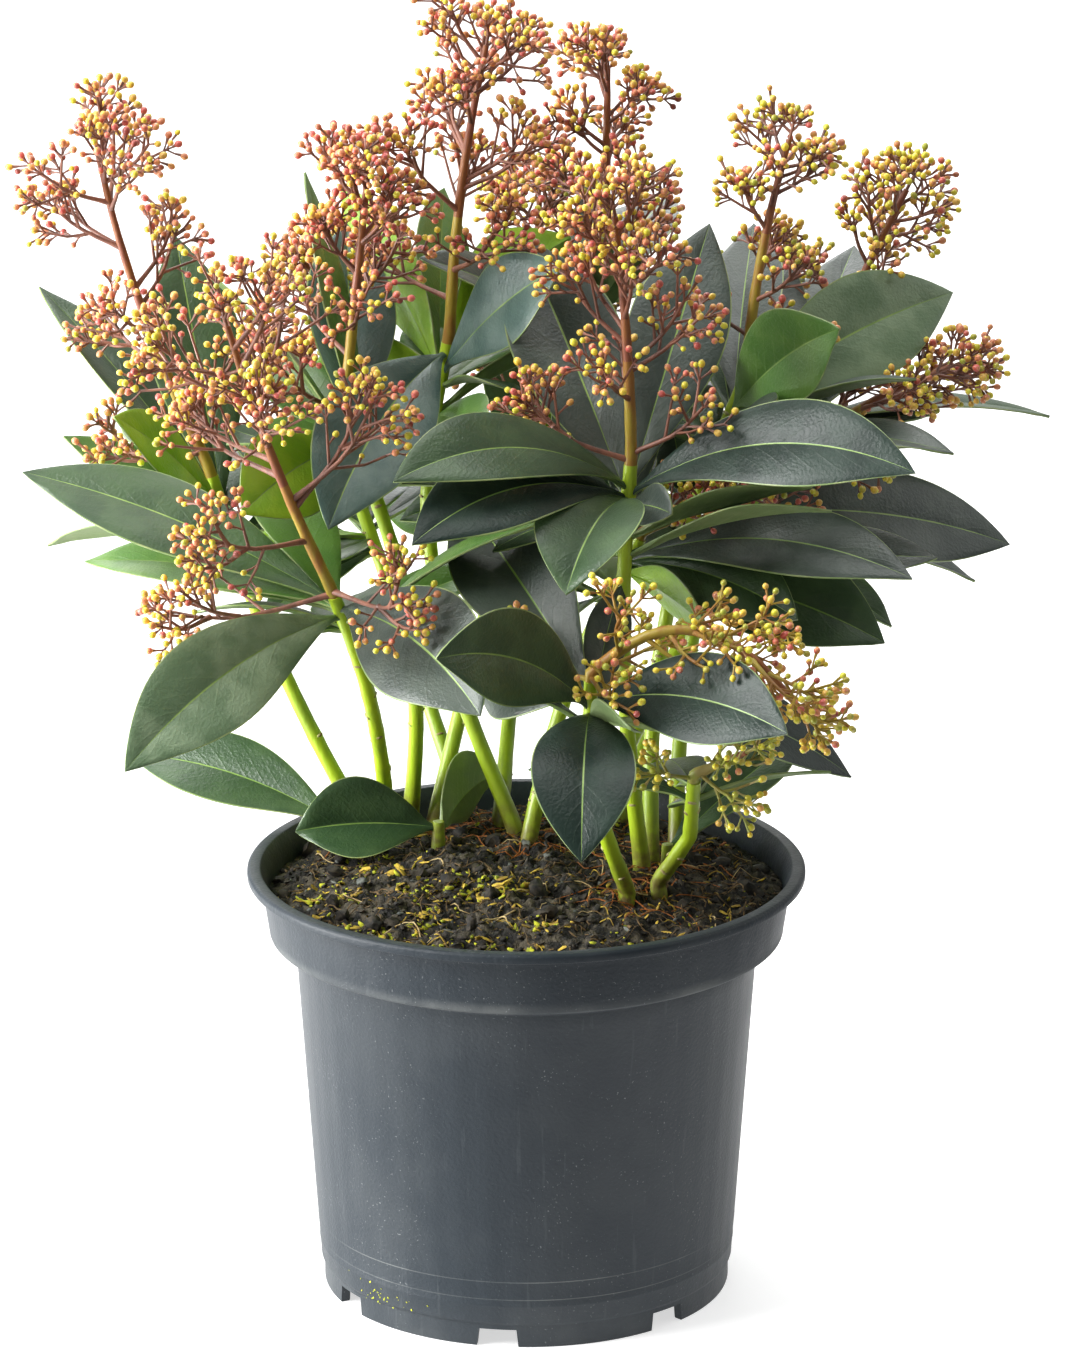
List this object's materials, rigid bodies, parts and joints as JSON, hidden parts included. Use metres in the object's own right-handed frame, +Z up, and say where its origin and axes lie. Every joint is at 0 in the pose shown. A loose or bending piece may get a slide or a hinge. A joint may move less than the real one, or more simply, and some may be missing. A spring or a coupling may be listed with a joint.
{
  "type": "potted skimmia",
  "caption": "Evergreen skimmia shrub in a round plastic nursery pot: green stems, whorls of long leathery leaves and upright panicles of rosy buds.",
  "frame": {"origin": "middle of the pot's flat underside", "axes": "+Z up, +X to the right and -Y towards the viewer of the plant's front"},
  "size_m": [0.3193, 0.313, 0.3926],
  "materials": {
    "pot": "dark slate-grey moulded plastic, satin, dusty and lightly scuffed",
    "peat": "dark crumbly peat with husks, fibres and a little moss",
    "stem": "smooth lime-green bark, browner and flaking at the foot, with pale leaf scars",
    "leaf": "leathery deep green with a soft gloss, paler midrib and margin, and a light green underside",
    "bud": "satin buds from rose and salmon to ochre and yellow-green on red-brown stalks"
  },
  "bodies": {
    "root": {"flowers_back_left": "bud", "flowers_back_middle": "bud", "flowers_back_right": "bud", "flowers_far_left": "bud", "flowers_far_right": "bud", "flowers_front": "bud", "flowers_left_front": "bud", "flowers_left_middle": "bud", "flowers_low_front": "bud", "flowers_low_right": "bud", "flowers_middle": "bud", "flowers_right_back": "bud", "flowers_right_top": "bud", "flowers_top_back": "bud", "flowers_top_left": "bud", "leaves_back_left": "leaf", "leaves_back_middle": "leaf", "leaves_back_right": "leaf", "leaves_far_left": "leaf", "leaves_far_right": "leaf", "leaves_foot_front": "leaf", "leaves_foot_left": "leaf", "leaves_foot_right": "leaf", "leaves_front": "leaf", "leaves_left_front": "leaf", "leaves_left_middle": "leaf", "leaves_low_front": "leaf", "leaves_low_right": "leaf", "leaves_middle": "leaf", "leaves_right_back": "leaf", "leaves_right_top": "leaf", "leaves_top_back": "leaf", "leaves_top_left": "leaf", "pot": "pot", "soil": "peat", "stem_back_left": "stem", "stem_back_middle": "stem", "stem_back_right": "stem", "stem_far_left": "stem", "stem_far_right": "stem", "stem_front": "stem", "stem_left_front": "stem", "stem_left_middle": "stem", "stem_low_front": "stem", "stem_low_right": "stem", "stem_middle": "stem", "stem_right_back": "stem", "stem_right_top": "stem", "stem_top_back": "stem", "stem_top_left": "stem"}
  },
  "joints": []
}
